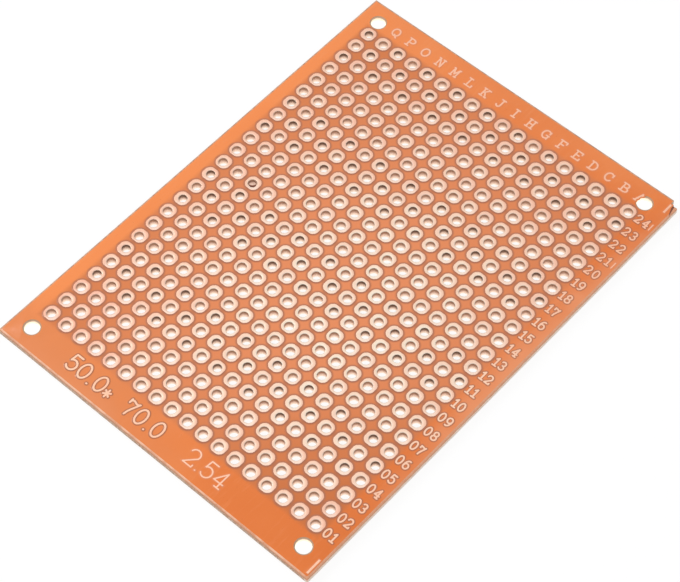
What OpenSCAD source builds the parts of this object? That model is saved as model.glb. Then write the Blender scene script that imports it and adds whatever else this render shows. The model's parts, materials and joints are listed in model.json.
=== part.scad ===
// Single-sided prototype board: a phenolic paper laminate with a grid of separate copper pads.
// The board lies flat with its copper side up. X runs along the short side, from column R to
// column A. Y runs along the long side, from row 01 up to row 24.
// The origin is the middle of the underside.

/* [Laminate] */
// Width over the snapped edges, at row 01
board_w = 50.3; // [49:0.1:52]
// Length over the snapped edges
board_l = 69.6; // [69:0.1:72]
// Thickness of the bare laminate
board_t = 1.2; // [1:0.1:1.6]
// Extra width at row 24, where the right edge broke outside its score line
splay = 0.5; // [0.1:0.1:1]
// Depth of the V score cut into each face before the panel was snapped apart
score_depth = 0.3; // [0.1:0.05:0.4]
// Width of the slope that half of a V score leaves along an edge
score_width = 0.2; // [0.1:0.05:0.4]

/* [Broken corner] */
// Width of the strip that is missing its end at the top right corner
notch_w = 1.1; // [0.5:0.1:2]
// How far that strip stops short of the top edge
notch_drop = 0.8; // [0.2:0.1:1]

/* [Lead holes] */
// Distance between neighbouring lead holes
pitch = 2.54; // [2.5:0.01:2.54]
// Number of columns, across the width
columns = 18; // [4:1:18]
// Number of rows, along the length
rows = 24; // [4:1:24]
// Diameter of a lead hole
lead_hole_d = 1.15; // [0.8:0.05:1.3]
// Distance from the left edge to the first column of holes
first_column = 3.25; // [2:0.05:4]
// Distance from the bottom edge to the first row of holes
first_row = 5.85; // [5:0.05:6]

/* [Mounting holes] */
// Diameter of a mounting hole
mount_hole_d = 2; // [1.8:0.1:2.2]
// Distance between the mounting holes across the width
mount_dx = 44.3; // [43:0.1:45]
// Distance between the mounting holes along the length
mount_dy = 63.85; // [62:0.05:64]
// Distance from the left edge to the nearest mounting holes
mount_inset_x = 2.9; // [2.5:0.05:3.5]
// Distance from the bottom edge to the nearest mounting holes
mount_inset_y = 2.85; // [2.4:0.05:3.2]

/* [Copper] */
// Thickness of the copper foil
copper_t = 0.035; // [0.035:0.035:0.07]
// Width of an eight-sided pad across the flats that face its neighbours
pad_w = 1.95; // [1.8:0.01:2]
// Width of a pad across its four cut corners
pad_corner_w = 2.08; // [1.9:0.02:2.3]
// Radius that takes the points off a pad
pad_corner_r = 1.07; // [1.04:0.01:1.2]
// How far the pads sit to the right of their holes and above them
pad_shift = [0, 0.05]; // [-0.1:0.01:0.1]

/* [Index marks] */
// Width of the etched line that draws a digit or a letter of the index
index_line = 0.22; // [0.15:0.01:0.3]
// Width and height of a row digit
digit_size = [0.86, 1.42]; // [0.6:0.02:1.6]
// Distance between the two digits of rows 01 to 09, 10 to 19 and 20 to 24
digit_steps = [1.03, 0.86, 1.15]; // [0.8:0.01:1.3]
// Width and height of a column letter
letter_size = [1.24, 1.52]; // [0.8:0.02:1.8]

/* [Size marks] */
// Width of the etched line of the size mark
size_line = 0.25; // [0.15:0.01:0.35]
// Width of the etched line of the pitch mark
pitch_line = 0.18; // [0.12:0.01:0.3]
// Width and height of a digit in both marks
mark_size = [1.55, 2.4]; // [1:0.05:3]

/* [Hidden] */
column_names = "abcdefghijklmnopqr";

left = -(board_w + splay) / 2;
right_low = left + board_w;
right_high = right_low + splay;
bottom = -board_l / 2;
top = board_l / 2;

// Column R is the first on the left and row 01 the first from the bottom.
first_hole = [left + first_column, bottom + first_row];
last_hole = first_hole + pitch * [columns - 1, rows - 1];
mount_holes = [for (i = [0, 1], j = [0, 1])
    [left + mount_inset_x + i * mount_dx, bottom + mount_inset_y + j * mount_dy]];

through = 1; // how far a cutter passes each face
laminate_colour = [0.91, 0.55, 0.35];
copper_colour = [0.98, 0.84, 0.73];

function hole_at(column, row) = first_hole + pitch * [column, row];

// ---- The board -------------------------------------------------------------------------------

// Corners over the snapped edges, counter-clockwise from the bottom left. The fourth and fifth
// are the step where the leftover strip ends.
corners = [
    [left, bottom],
    [right_low, bottom],
    [right_high, top - notch_drop],
    [right_high - notch_w, top - notch_drop],
    [right_high - notch_w, top],
    [left, top]
];

// The edges that follow a V score, each from one corner to another.
scored_edges = [
    [corners[0], corners[1]],
    [corners[1], corners[2]],
    [corners[4], corners[5]],
    [corners[5], corners[0]]
];

// What half of a V score removes along one edge, above and below, with the board on its left.
module score(edge) {
    run = edge[1] - edge[0];
    slope_foot = board_t / 2 - score_depth;
    translate([edge[0].x, edge[0].y, board_t / 2])
        rotate(atan2(run.y, run.x))
            for (side = [0, 1])
                mirror([0, 0, side])
                    translate([-through, 0, 0])
                        rotate([90, 0, 90])
                            linear_extrude(norm(run) + 2 * through)
                                polygon([
                                    [-through, slope_foot],
                                    [0, slope_foot],
                                    [score_width, board_t / 2],
                                    [score_width, board_t / 2 + through],
                                    [-through, board_t / 2 + through]
                                ]);
}

module board() {
    color(laminate_colour)
        difference() {
            linear_extrude(board_t)
                polygon(corners);
            for (edge = scored_edges)
                score(edge);
            for (column = [0 : columns - 1], row = [0 : rows - 1])
                translate(hole_at(column, row))
                    translate([0, 0, -through])
                        cylinder(d = lead_hole_d, h = board_t + 2 * through, $fn = 32);
            for (at = mount_holes)
                translate(at)
                    translate([0, 0, -through])
                        cylinder(d = mount_hole_d, h = board_t + 2 * through, $fn = 48);
        }
}

// ---- The pads --------------------------------------------------------------------------------

// One pad with its lead hole: a square with its corners cut off and its points rounded.
module pad() {
    linear_extrude(copper_t)
        difference() {
            translate(pad_shift)
                intersection() {
                    square(pad_w, center = true);
                    rotate(45)
                        square(pad_corner_w, center = true);
                    circle(r = pad_corner_r, $fn = 48);
                }
            circle(d = lead_hole_d, $fn = 32);
        }
}

// A column of separate pads. Column A is the last on the right, so the letters count back.
module pads_column(letter) {
    color(copper_colour)
        for (row = [0 : rows - 1])
            translate(hole_at(columns - 1 - letter, row))
                translate([0, 0, board_t])
                    pad();
}

// ---- Strokes of the digits and letters -------------------------------------------------------

// An arc of an ellipse, from one angle to another, as points of a stroke.
function arc(cx, cy, rx, ry, from, to) =
    let (steps = ceil(abs(to - from) / 18))
    [for (i = [0 : steps])
        let (angle = from + (to - from) * i / steps)
        [cx + rx * cos(angle), cy + ry * sin(angle)]];

// A closed loop is drawn as two halves.
function loop(cx, cy, rx, ry) = [arc(cx, cy, rx, ry, 90, 270), arc(cx, cy, rx, ry, -90, 90)];

// The centre lines of each sign, in a cell that is 1 wide and 1 high, all with short serifs.
function digit_strokes(sign) =
    sign == "0" ? loop(0.5, 0.5, 0.5, 0.5) :
    sign == "1" ? [
        [[0.12, 0.78], [0.5, 1]],
        [[0.5, 1], [0.5, 0]],
        [[0.12, 0], [0.88, 0]]
    ] :
    sign == "2" ? [
        concat(arc(0.5, 0.7, 0.5, 0.3, 165, -20), [[0.04, 0]]),
        [[0.04, 0], [1, 0]],
        [[1, 0], [1, 0.14]]
    ] :
    sign == "3" ? [
        arc(0.46, 0.75, 0.44, 0.25, 150, -90),
        arc(0.48, 0.26, 0.5, 0.26, 90, -150)
    ] :
    sign == "4" ? [
        [[0.72, 1], [0, 0.3]],
        [[0, 0.3], [1, 0.3]],
        [[0.72, 1], [0.72, 0]],
        [[0.45, 0], [0.99, 0]]
    ] :
    sign == "5" ? [
        [[0.9, 1], [0.16, 1]],
        [[0.16, 1], [0.08, 0.55]],
        arc(0.46, 0.33, 0.52, 0.33, 138, -145)
    ] :
    sign == "6" ? concat(loop(0.5, 0.31, 0.5, 0.31), [arc(0.62, 0.38, 0.62, 0.62, 75, 180)]) :
    sign == "7" ? [
        [[0.02, 0.74], [0.02, 1]],
        [[0.02, 0.87], [0.15, 0.95], [0.32, 0.97], [0.5, 0.93], [0.68, 0.89], [0.85, 0.91], [1, 0.99]],
        [[1, 0.99], [0.8, 0.72], [0.62, 0.47], [0.48, 0.22], [0.43, 0]]
    ] :
    sign == "8" ? concat(loop(0.5, 0.75, 0.42, 0.25), loop(0.5, 0.26, 0.5, 0.26)) :
    sign == "9" ? concat(loop(0.5, 0.69, 0.5, 0.31), [arc(0.38, 0.62, 0.62, 0.62, 0, -105)]) :
    sign == "." ? [[[0.48, 0], [0.52, 0]]] :
    sign == "*" ? [
        [[0.5, 0], [0.5, 1]],
        [[0.07, 0.25], [0.93, 0.75]],
        [[0.07, 0.75], [0.93, 0.25]]
    ] :
    [];

function letter_strokes(sign) =
    sign == "A" ? [
        [[-0.06, 0], [0.36, 1]],
        [[0.36, 1], [0.78, 0]],
        [[0.1, 0.35], [0.64, 0.35]],
        [[-0.18, 0], [0.06, 0]],
        [[0.68, 0], [0.9, 0]]
    ] :
    sign == "B" ? [
        [[0.2, 0], [0.2, 1]],
        concat([[0, 1], [0.55, 1]], arc(0.55, 0.76, 0.3, 0.24, 72, -90), [[0.2, 0.52]]),
        concat([[0.2, 0.52], [0.6, 0.52]], arc(0.6, 0.26, 0.4, 0.26, 72, -90), [[0, 0]])
    ] :
    sign == "C" ? [
        arc(0.5, 0.5, 0.5, 0.5, 40, 320),
        [[0.9, 0.66], [0.9, 0.95]]
    ] :
    sign == "D" ? [
        [[0.2, 0], [0.2, 1]],
        concat([[0, 1], [0.45, 1]], arc(0.45, 0.5, 0.55, 0.5, 72, -90), [[0, 0]])
    ] :
    sign == "E" ? [
        [[0.2, 0], [0.2, 1]],
        [[0, 1], [0.94, 1]],
        [[0.94, 1], [0.94, 0.8]],
        [[0.2, 0.52], [0.68, 0.52]],
        [[0, 0], [1, 0]],
        [[1, 0], [1, 0.22]]
    ] :
    sign == "F" ? [
        [[0.22, 0], [0.22, 1]],
        [[0, 1], [0.96, 1]],
        [[0.96, 1], [0.96, 0.78]],
        [[0.22, 0.52], [0.7, 0.52]],
        [[0, 0], [0.46, 0]]
    ] :
    sign == "G" ? [
        arc(0.5, 0.5, 0.5, 0.5, 40, 320),
        [[0.9, 0.68], [0.9, 0.95]],
        [[0.89, 0], [0.89, 0.42]],
        [[0.6, 0.42], [1, 0.42]]
    ] :
    sign == "H" ? [
        [[0.18, 0], [0.18, 1]],
        [[0.82, 0], [0.82, 1]],
        [[0.18, 0.5], [0.82, 0.5]],
        [[0, 0], [0.36, 0]],
        [[0.64, 0], [1, 0]],
        [[0, 1], [0.36, 1]],
        [[0.64, 1], [1, 1]]
    ] :
    sign == "I" ? [
        [[0.5, 0], [0.5, 1]],
        [[0.25, 0], [0.75, 0]],
        [[0.25, 1], [0.75, 1]]
    ] :
    sign == "J" ? [
        concat([[0.7, 1], [0.7, 0.27]], arc(0.42, 0.27, 0.28, 0.27, -24, -160)),
        [[0.42, 1], [0.95, 1]]
    ] :
    sign == "K" ? [
        [[0.2, 0], [0.2, 1]],
        [[0.2, 0.38], [0.84, 1]],
        [[0.42, 0.58], [0.88, 0]],
        [[0, 0], [0.4, 0]],
        [[0.7, 0], [1, 0]],
        [[0, 1], [0.4, 1]],
        [[0.66, 1], [1, 1]]
    ] :
    sign == "L" ? [
        [[0.28, 0], [0.28, 1]],
        [[0.02, 1], [0.54, 1]],
        [[0.02, 0], [0.98, 0]],
        [[0.98, 0], [0.98, 0.26]]
    ] :
    sign == "M" ? [
        [[0.13, 0], [0.13, 1]],
        [[0.13, 1], [0.5, 0.3]],
        [[0.5, 0.3], [0.87, 1]],
        [[0.87, 1], [0.87, 0]],
        [[0, 0], [0.3, 0]],
        [[0.7, 0], [1, 0]],
        [[0, 1], [0.13, 1]],
        [[0.87, 1], [1, 1]]
    ] :
    sign == "N" ? [
        [[0.16, 0], [0.16, 1]],
        [[0.16, 1], [0.84, 0]],
        [[0.84, 0], [0.84, 1]],
        [[0, 0], [0.36, 0]],
        [[0, 1], [0.16, 1]],
        [[0.64, 1], [1, 1]]
    ] :
    sign == "O" ? loop(0.5, 0.5, 0.5, 0.5) :
    sign == "P" ? [
        [[0.22, 0], [0.22, 1]],
        [[0, 0], [0.46, 0]],
        concat([[0, 1], [0.55, 1]], arc(0.55, 0.73, 0.42, 0.27, 72, -90), [[0.22, 0.46]])
    ] :
    sign == "Q" ? concat(loop(0.5, 0.52, 0.5, 0.48), [[[0.5, 0.22], [0.95, -0.1]]]) :
    [];

function unit(v) = v / norm(v);
function turned_left(v) = [-v.y, v.x];
function reversed(list) = [for (i = [len(list) - 1 : -1 : 0]) list[i]];

// The line that runs beside a stroke at a distance, mitred at each bend.
function beside(points, distance) =
    [for (i = [0 : len(points) - 1])
        let (
            after = i < len(points) - 1 ? unit(points[i + 1] - points[i]) : unit(points[i] - points[i - 1]),
            before = i > 0 ? unit(points[i] - points[i - 1]) : after,
            normal = turned_left(unit(before + after))
        )
        points[i] + normal * distance / max(0.7, normal * turned_left(before))];

// The round end of a stroke, drawn clockwise from its left side to its right side.
function round_end(centre, direction, radius) =
    [for (angle = [45, 0, -45])
        centre + radius * (direction * cos(angle) + turned_left(direction) * sin(angle))];

function stroke_outline(points, width) =
    let (
        last = len(points) - 1,
        leaving = unit(points[last] - points[last - 1]),
        arriving = unit(points[0] - points[1])
    )
    concat(
        beside(points, width / 2),
        round_end(points[last], leaving, width / 2),
        reversed(beside(points, -width / 2)),
        round_end(points[0], arriving, width / 2)
    );

// A sign of etched copper. Its place is the middle of its foot, and its size is over the line.
module sign(strokes, place, size, line) {
    cell = size - [line, line];
    translate([place.x - cell.x / 2, place.y + line / 2, board_t])
        linear_extrude(copper_t)
            for (points = strokes)
                polygon(stroke_outline([for (p = points) [p.x * cell.x, p.y * cell.y]], line));
}

// ---- The index -------------------------------------------------------------------------------

// Two digits beside each row, 01 to 24, to the right of column A.
module row_numbers() {
    tens_x = last_hole.x + 1.7;
    digit_lift = 0.03;
    digits = "0123456789";
    color(copper_colour)
        for (row = [1 : rows], place = [0, 1])
            sign(
                digit_strokes(digits[place == 0 ? floor(row / 10) : row % 10]),
                [
                    tens_x + place * digit_steps[floor(row / 10)],
                    hole_at(0, row - 1).y - digit_size.y / 2 + digit_lift
                ],
                digit_size,
                index_line
            );
}

// One letter above each column. R would fall in a mounting hole, and the hole beside column A
// leaves only the first leg of its letter.
module column_letters() {
    letters = "ABCDEFGHIJKLMNOPQ";
    letter_shift = [0.04, 1.95];
    color(copper_colour)
        difference() {
            for (i = [0 : min(len(letters), columns) - 1])
                sign(
                    letter_strokes(letters[i]),
                    hole_at(columns - 1 - i, rows - 1) + letter_shift,
                    letter_size,
                    index_line
                );
            for (at = mount_holes)
                translate(at)
                    translate([0, 0, board_t - through])
                        cylinder(d = mount_hole_d, h = 2 * through, $fn = 48);
        }
}

// ---- Marks below row 01 and at the edge --------------------------------------------------------

marks_foot = first_hole.y - 4.34;

// The nominal size of the board in millimetres, with an asterisk between the two numbers.
module size_mark() {
    star_size = [1.2, 1.35];
    star_x = first_hole.x + 13;
    star_lift = 0.1;
    first_digits = first_hole.x + 7.05;
    second_digits = first_hole.x + 16.5;
    steps = [0, 1.8, 3.13, 4.5];
    color(copper_colour) {
        for (number = [["50.0", first_digits], ["70.0", second_digits]], i = [0 : 3])
            sign(
                digit_strokes(number[0][i]),
                [number[1] + steps[i], marks_foot],
                mark_size,
                size_line
            );
        sign(digit_strokes("*"), [star_x, marks_foot + star_lift], star_size, size_line);
    }
}

// The pitch of the holes in millimetres, in a thinner line.
module pitch_mark() {
    digits = "2.54";
    steps = [0, 1.3, 2.6, 4.45];
    start_x = first_hole.x + 26.6;
    color(copper_colour)
        for (i = [0 : 3])
            sign(
                digit_strokes(digits[i]),
                [start_x + steps[i], marks_foot + 0.1],
                mark_size,
                pitch_line
            );
}

// Straight panel marks along the right edge: one near each corner, and a dash at rows 21 and 24.
module edge_marks() {
    mark_w = 0.26;
    dash_w = 0.14;
    dash_l = 1.1;
    high_mark = last_hole + [3.3, 2.85];
    low_mark = [last_hole.x + 3.2, first_hole.y - 5.27];
    color(copper_colour) {
        translate([high_mark.x, high_mark.y, board_t])
            cube([mark_w, 1.6, copper_t]);
        translate([low_mark.x, low_mark.y, board_t])
            cube([mark_w, 2.2, copper_t]);
        for (row = [21, 24])
            translate([high_mark.x + 0.25, hole_at(0, row - 1).y - 0.6, board_t])
                cube([dash_w, dash_l, copper_t]);
    }
}

board();
for (i = [0 : columns - 1])
    pads_column(i);
row_numbers();
column_letters();
size_mark();
pitch_mark();
edge_marks();
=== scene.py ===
import json
import math

import bpy
from mathutils import Matrix, Vector


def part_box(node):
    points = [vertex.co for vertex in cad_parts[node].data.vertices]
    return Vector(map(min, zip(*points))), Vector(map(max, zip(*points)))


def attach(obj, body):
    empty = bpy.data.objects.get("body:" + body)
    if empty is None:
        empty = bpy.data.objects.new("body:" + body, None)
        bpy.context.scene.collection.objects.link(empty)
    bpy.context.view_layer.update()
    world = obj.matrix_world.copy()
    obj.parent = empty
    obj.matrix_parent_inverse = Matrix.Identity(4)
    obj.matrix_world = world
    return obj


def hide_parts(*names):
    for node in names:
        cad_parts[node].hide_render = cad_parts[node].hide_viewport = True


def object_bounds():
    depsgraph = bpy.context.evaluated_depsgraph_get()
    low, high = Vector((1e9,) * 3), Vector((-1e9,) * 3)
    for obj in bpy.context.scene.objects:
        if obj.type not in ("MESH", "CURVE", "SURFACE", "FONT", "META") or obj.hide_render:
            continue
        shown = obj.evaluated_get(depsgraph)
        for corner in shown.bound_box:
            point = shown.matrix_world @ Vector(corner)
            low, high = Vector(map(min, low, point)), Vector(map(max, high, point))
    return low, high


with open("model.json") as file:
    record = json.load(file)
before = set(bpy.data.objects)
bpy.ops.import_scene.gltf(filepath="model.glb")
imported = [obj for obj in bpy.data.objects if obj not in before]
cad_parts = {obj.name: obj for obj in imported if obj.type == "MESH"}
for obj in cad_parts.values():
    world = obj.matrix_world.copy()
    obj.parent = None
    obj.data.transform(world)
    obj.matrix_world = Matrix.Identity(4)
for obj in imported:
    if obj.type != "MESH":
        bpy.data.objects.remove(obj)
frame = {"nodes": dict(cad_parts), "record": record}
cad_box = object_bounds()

# ---- Camera, floor and studio light ------------------------------------------------------------
# The camera looks down on the copper side over the corner of row 01 and column A.
# A pale floor lies under the board, and two soft boxes and an even sky light it.

MM = 0.001

camera_data = bpy.data.cameras.new("camera")
camera_data.lens = 116.608
camera_data.sensor_width = 36
camera_data.clip_start = 0.01
camera = bpy.data.objects.new("camera", camera_data)
camera.location = Vector((99.659, -113.218, 226.923)) * MM
camera.rotation_euler = [math.radians(angle) for angle in (33.091, 0.048, 41.572)]
bpy.context.scene.collection.objects.link(camera)
bpy.context.scene.camera = camera
bpy.context.scene.view_settings.view_transform = "Standard"


def new_material(name, base_colour, roughness):
    """A material with one Principled shader. Returns it with its node tree and that shader."""
    material = bpy.data.materials.new(name)
    material.use_nodes = True
    tree = material.node_tree
    shader = tree.nodes["Principled BSDF"]
    shader.inputs["Base Color"].default_value = (*base_colour, 1)
    shader.inputs["Roughness"].default_value = roughness
    return material, tree, shader


def seen_directly(tree):
    """1 for a ray from the camera, a mirror or glass, else 0."""
    path = tree.nodes.new("ShaderNodeLightPath")
    either = tree.nodes.new("ShaderNodeMath")
    either.operation = "MAXIMUM"
    tree.links.new(path.outputs["Is Camera Ray"], either.inputs[0])
    tree.links.new(path.outputs["Is Glossy Ray"], either.inputs[1])
    all_three = tree.nodes.new("ShaderNodeMath")
    all_three.operation = "MAXIMUM"
    tree.links.new(either.outputs[0], all_three.inputs[0])
    tree.links.new(path.outputs["Is Transmission Ray"], all_three.inputs[1])
    return all_three.outputs[0]


SKY_LIGHT = 0.5
FLOOR_W = 6               # metres
FLOOR_GAP = 0.02 * MM     # the floor stays just clear of the board's underside
world = bpy.data.worlds.new("studio")
bpy.context.scene.world = world
world.use_nodes = True
sky = world.node_tree
sky_shader = sky.nodes["Background"]
sky_shader.inputs["Color"].default_value = (1, 1, 1, 1)
sky_strength = sky.nodes.new("ShaderNodeMapRange")
sky_strength.inputs["To Min"].default_value = SKY_LIGHT
sky_strength.inputs["To Max"].default_value = 1.0
sky.links.new(seen_directly(sky), sky_strength.inputs["Value"])
sky.links.new(sky_strength.outputs["Result"], sky_shader.inputs["Strength"])

bpy.ops.object.select_all(action="DESELECT")
bpy.ops.mesh.primitive_plane_add(size=FLOOR_W, location=(0, 0, -FLOOR_GAP))
floor = bpy.context.object
floor.name = "floor"
floor_paint = bpy.data.materials.new("floor_paint")
floor_paint.use_nodes = True
floor_tree = floor_paint.node_tree
floor_tree.nodes.remove(floor_tree.nodes["Principled BSDF"])
plain_floor = floor_tree.nodes.new("ShaderNodeBsdfDiffuse")
plain_floor.inputs["Color"].default_value = (0.8, 0.8, 0.8, 1)
seen_floor = floor_tree.nodes.new("ShaderNodeBsdfDiffuse")
seen_floor.inputs["Color"].default_value = (0.12, 0.12, 0.12, 1)
floor_glow = floor_tree.nodes.new("ShaderNodeEmission")
floor_glow.inputs["Strength"].default_value = 0.9
seen_sum = floor_tree.nodes.new("ShaderNodeAddShader")
floor_tree.links.new(seen_floor.outputs[0], seen_sum.inputs[0])
floor_tree.links.new(floor_glow.outputs[0], seen_sum.inputs[1])
floor_mix = floor_tree.nodes.new("ShaderNodeMixShader")
floor_tree.links.new(seen_directly(floor_tree), floor_mix.inputs["Fac"])
floor_tree.links.new(plain_floor.outputs[0], floor_mix.inputs[1])
floor_tree.links.new(seen_sum.outputs[0], floor_mix.inputs[2])
floor_tree.links.new(floor_mix.outputs[0], floor_tree.nodes["Material Output"].inputs["Surface"])
floor.data.materials.append(floor_paint)

for name, place, size, power in (
    ("soft_box_left", (-0.33, -0.10, 0.30), 0.24, 1.04),
    ("soft_box_right", (0.45, 0.0, 0.35), 0.4, 0.60),
):
    lamp = bpy.data.lights.new(name, "AREA")
    lamp.size = size
    lamp.energy = power
    box = bpy.data.objects.new(name, lamp)
    box.location = place
    box.rotation_euler = (-Vector(place)).to_track_quat("-Z", "Y").to_euler()
    bpy.context.scene.collection.objects.link(box)


# ---- The laminate ------------------------------------------------------------------------------
# Phenolic paper laminate, 1.2 mm thick, snapped out of a larger panel along V scores.
# The scores leave a milled slope along each edge, with its upper lip worn down, and a rough torn
# band between the two slopes.

board_low, board_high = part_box("board")
SPLAY = 0.5 * MM                    # the right edge broke this much wider at its top end
SCORE_DEPTH = 0.3 * MM
SCORE_WIDTH = 0.28 * MM
LIP = Vector((0.2, 0.06)) * MM      # the worn upper lip of each score, across and down
BOARD_T = board_high.z - board_low.z
BAND_T = BOARD_T - 2 * SCORE_DEPTH
EDGE_CUTS, BAND_CUTS = 159, 3       # along each edge, and across its torn band
SCORE_TEAR = 0.4                    # how much of the tearing reaches the scores
FLAT = 0.99                         # a face lies flat where its normal is more upright
CLOSE = 0.0001 * MM                 # heights nearer to each other than this are the same


def start_editing(piece, kind):
    """Enter edit mode on one piece with nothing selected, in VERT, EDGE or FACE mode."""
    if bpy.context.mode != "OBJECT":
        bpy.ops.object.mode_set(mode="OBJECT")
    bpy.ops.object.select_all(action="DESELECT")
    piece.select_set(True)
    bpy.context.view_layer.objects.active = piece
    bpy.ops.object.mode_set(mode="EDIT")
    bpy.ops.mesh.select_mode(type=kind)
    bpy.ops.mesh.select_all(action="DESELECT")


def choose(piece, kind, wanted):
    """In edit mode, select the vertices, edges or faces that wanted() says yes to."""
    bpy.ops.mesh.select_mode(type=kind)
    bpy.ops.mesh.select_all(action="DESELECT")
    bpy.ops.object.mode_set(mode="OBJECT")
    mesh = piece.data
    if kind == "VERT":
        for v in mesh.vertices:
            v.select = wanted(v.co)
    elif kind == "EDGE":
        for e in mesh.edges:
            e.select = wanted(*(mesh.vertices[i].co for i in e.vertices))
    else:
        for f in mesh.polygons:
            f.select = wanted(f.center, f.normal)
    bpy.ops.object.mode_set(mode="EDIT")


def apply_all(piece):
    """Apply the piece's modifiers in their order."""
    if bpy.context.mode != "OBJECT":
        bpy.ops.object.mode_set(mode="OBJECT")
    bpy.ops.object.select_all(action="DESELECT")
    piece.select_set(True)
    bpy.context.view_layer.objects.active = piece
    for modifier in list(piece.modifiers):
        bpy.ops.object.modifier_apply(modifier=modifier.name)


def settle(piece):
    """Put the piece's place into its mesh."""
    if bpy.context.mode != "OBJECT":
        bpy.ops.object.mode_set(mode="OBJECT")
    bpy.ops.object.select_all(action="DESELECT")
    piece.select_set(True)
    bpy.context.view_layer.objects.active = piece
    bpy.ops.object.transform_apply(location=True, rotation=True, scale=True)


width, length = board_high.x - board_low.x, board_high.y - board_low.y
bpy.ops.object.select_all(action="DESELECT")
bpy.ops.mesh.primitive_plane_add(size=1, location=(0, 0, 0))
plate = bpy.context.object
plate.name = "laminate_board"
plate.scale = (width, length, 1)
plate.location = ((board_low.x + board_high.x) / 2, 0, SCORE_DEPTH)
settle(plate)
start_editing(plate, "VERT")
choose(plate, "VERT", lambda co: co.x > 0 and co.y < 0)
bpy.ops.transform.translate(value=(-SPLAY, 0, 0))
bpy.ops.mesh.select_all(action="SELECT")
bpy.ops.mesh.extrude_region_move(TRANSFORM_OT_translate={"value": (0, 0, BAND_T)})
bpy.ops.mesh.select_all(action="SELECT")
bpy.ops.mesh.normals_make_consistent(inside=False)
for side in (1, -1):
    choose(plate, "FACE", lambda centre, normal: normal.z * side > FLAT)
    bpy.ops.mesh.inset(thickness=SCORE_WIDTH - LIP.x, depth=SCORE_DEPTH - LIP.y)
    bpy.ops.mesh.inset(thickness=LIP.x, depth=LIP.y)
choose(plate, "FACE", lambda centre, normal: abs(normal.z) > FLAT)
bpy.ops.mesh.delete(type="ONLY_FACE")
# The four edges are divided along their run, and the torn band also across it.
choose(plate, "EDGE", lambda a, b: abs(a.z - b.z) < CLOSE)
bpy.ops.mesh.subdivide(number_cuts=EDGE_CUTS)
choose(plate, "EDGE", lambda a, b: abs(abs(a.z - b.z) - BAND_T) < CLOSE)
bpy.ops.mesh.subdivide(number_cuts=BAND_CUTS)
bpy.ops.object.mode_set(mode="OBJECT")

torn = plate.vertex_groups.new(name="torn")
for v in plate.data.vertices:
    above_score = v.co.z - SCORE_DEPTH
    if -CLOSE < above_score < BAND_T + CLOSE:
        inner = CLOSE < above_score < BAND_T - CLOSE
        torn.add([v.index], 1.0 if inner else SCORE_TEAR, "REPLACE")
# The band is torn in a little further than its fibres stand out.
for name, scale, strength in (("fibre_tear", 0.9, 0.22), ("fibre_ends", 0.25, 0.1)):
    clouds = bpy.data.textures.new(name, "CLOUDS")
    clouds.noise_scale = scale * MM
    tear = plate.modifiers.new(name, "DISPLACE")
    tear.texture = clouds
    tear.texture_coords = "LOCAL"
    tear.vertex_group = "torn"
    tear.strength = strength * MM
    tear.mid_level = 0.6
apply_all(plate)
start_editing(plate, "EDGE")
for height in (board_low.z, board_high.z):
    choose(plate, "EDGE", lambda a, b: max(abs(a.z - height), abs(b.z - height)) < CLOSE)
    bpy.ops.mesh.edge_face_add()
bpy.ops.mesh.select_all(action="SELECT")
bpy.ops.mesh.normals_make_consistent(inside=False)
bpy.ops.object.mode_set(mode="OBJECT")


# ---- Its paper, resin and lacquer --------------------------------------------------------------
# Paper soaked in phenolic resin, with a flux lacquer over the copper side. The lacquer gathers
# round the pads, so the surface follows the grid that the pads are etched on.

COLUMNS, ROWS = 18, 24
pads_low, pads_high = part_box("pads_column_r")
PAD_W = pads_high.x - pads_low.x
PITCH = (pads_high.y - pads_low.y - PAD_W) / (ROWS - 1)
first_pad = Vector(((pads_low.x + pads_high.x) / 2, pads_low.y + PAD_W / 2, 0))


def group_of(name, inputs, outputs):
    """A shader node group with named sockets: (name, type, default) in, (name, type) out."""
    group = bpy.data.node_groups.new(name, "ShaderNodeTree")
    for label, kind, default in inputs:
        socket = group.interface.new_socket(label, in_out="INPUT", socket_type=kind)
        socket.default_value = default
    for label, kind in outputs:
        group.interface.new_socket(label, in_out="OUTPUT", socket_type=kind)
    return group, group.nodes.new("NodeGroupInput"), group.nodes.new("NodeGroupOutput")


def node(tree, kind, *values, **settings):
    """A node with its settings. Each value fills the next input: a link, a value or nothing."""
    made = tree.nodes.new(kind)
    for key, value in settings.items():
        setattr(made, key, value)
    for socket, value in zip(made.inputs, values):
        if isinstance(value, bpy.types.NodeSocket):
            tree.links.new(value, socket)
        elif value is not None:
            socket.default_value = value
    return made


def object_place(tree):
    return node(tree, "ShaderNodeTexCoord").outputs["Object"]


def maths(tree, operation, *values):
    """The result of one Math node."""
    return node(tree, "ShaderNodeMath", *values, operation=operation).outputs[0]


def rise(tree, value, low, high, top=1.0):
    """0 where the value is below low, top where it is above high, and smooth between them. Where
    low is the larger of the two, it falls instead."""
    made = node(tree, "ShaderNodeMapRange", value, low, high, 0.0, top,
                interpolation_type="SMOOTHSTEP")
    return made.outputs["Result"]


def blend(tree, share, first, second):
    """A mix of two colours."""
    mix = tree.nodes.new("ShaderNodeMix")
    mix.data_type = "RGBA"
    for index, value in ((0, share), (6, first), (7, second)):
        if isinstance(value, bpy.types.NodeSocket):
            tree.links.new(value, mix.inputs[index])
        else:
            mix.inputs[index].default_value = value
    return mix.outputs[2]


def graded(tree, value, *stops):
    """A colour that runs through stops, each a place from 0 to 1 and a colour."""
    made = node(tree, "ShaderNodeValToRGB", value)
    ramp = made.color_ramp
    while len(ramp.elements) < len(stops):
        ramp.elements.new(1.0)
    for element, (place, colour) in zip(ramp.elements, stops):
        element.position = place
        element.color = (*colour, 1)
    return made.outputs["Color"]


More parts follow.
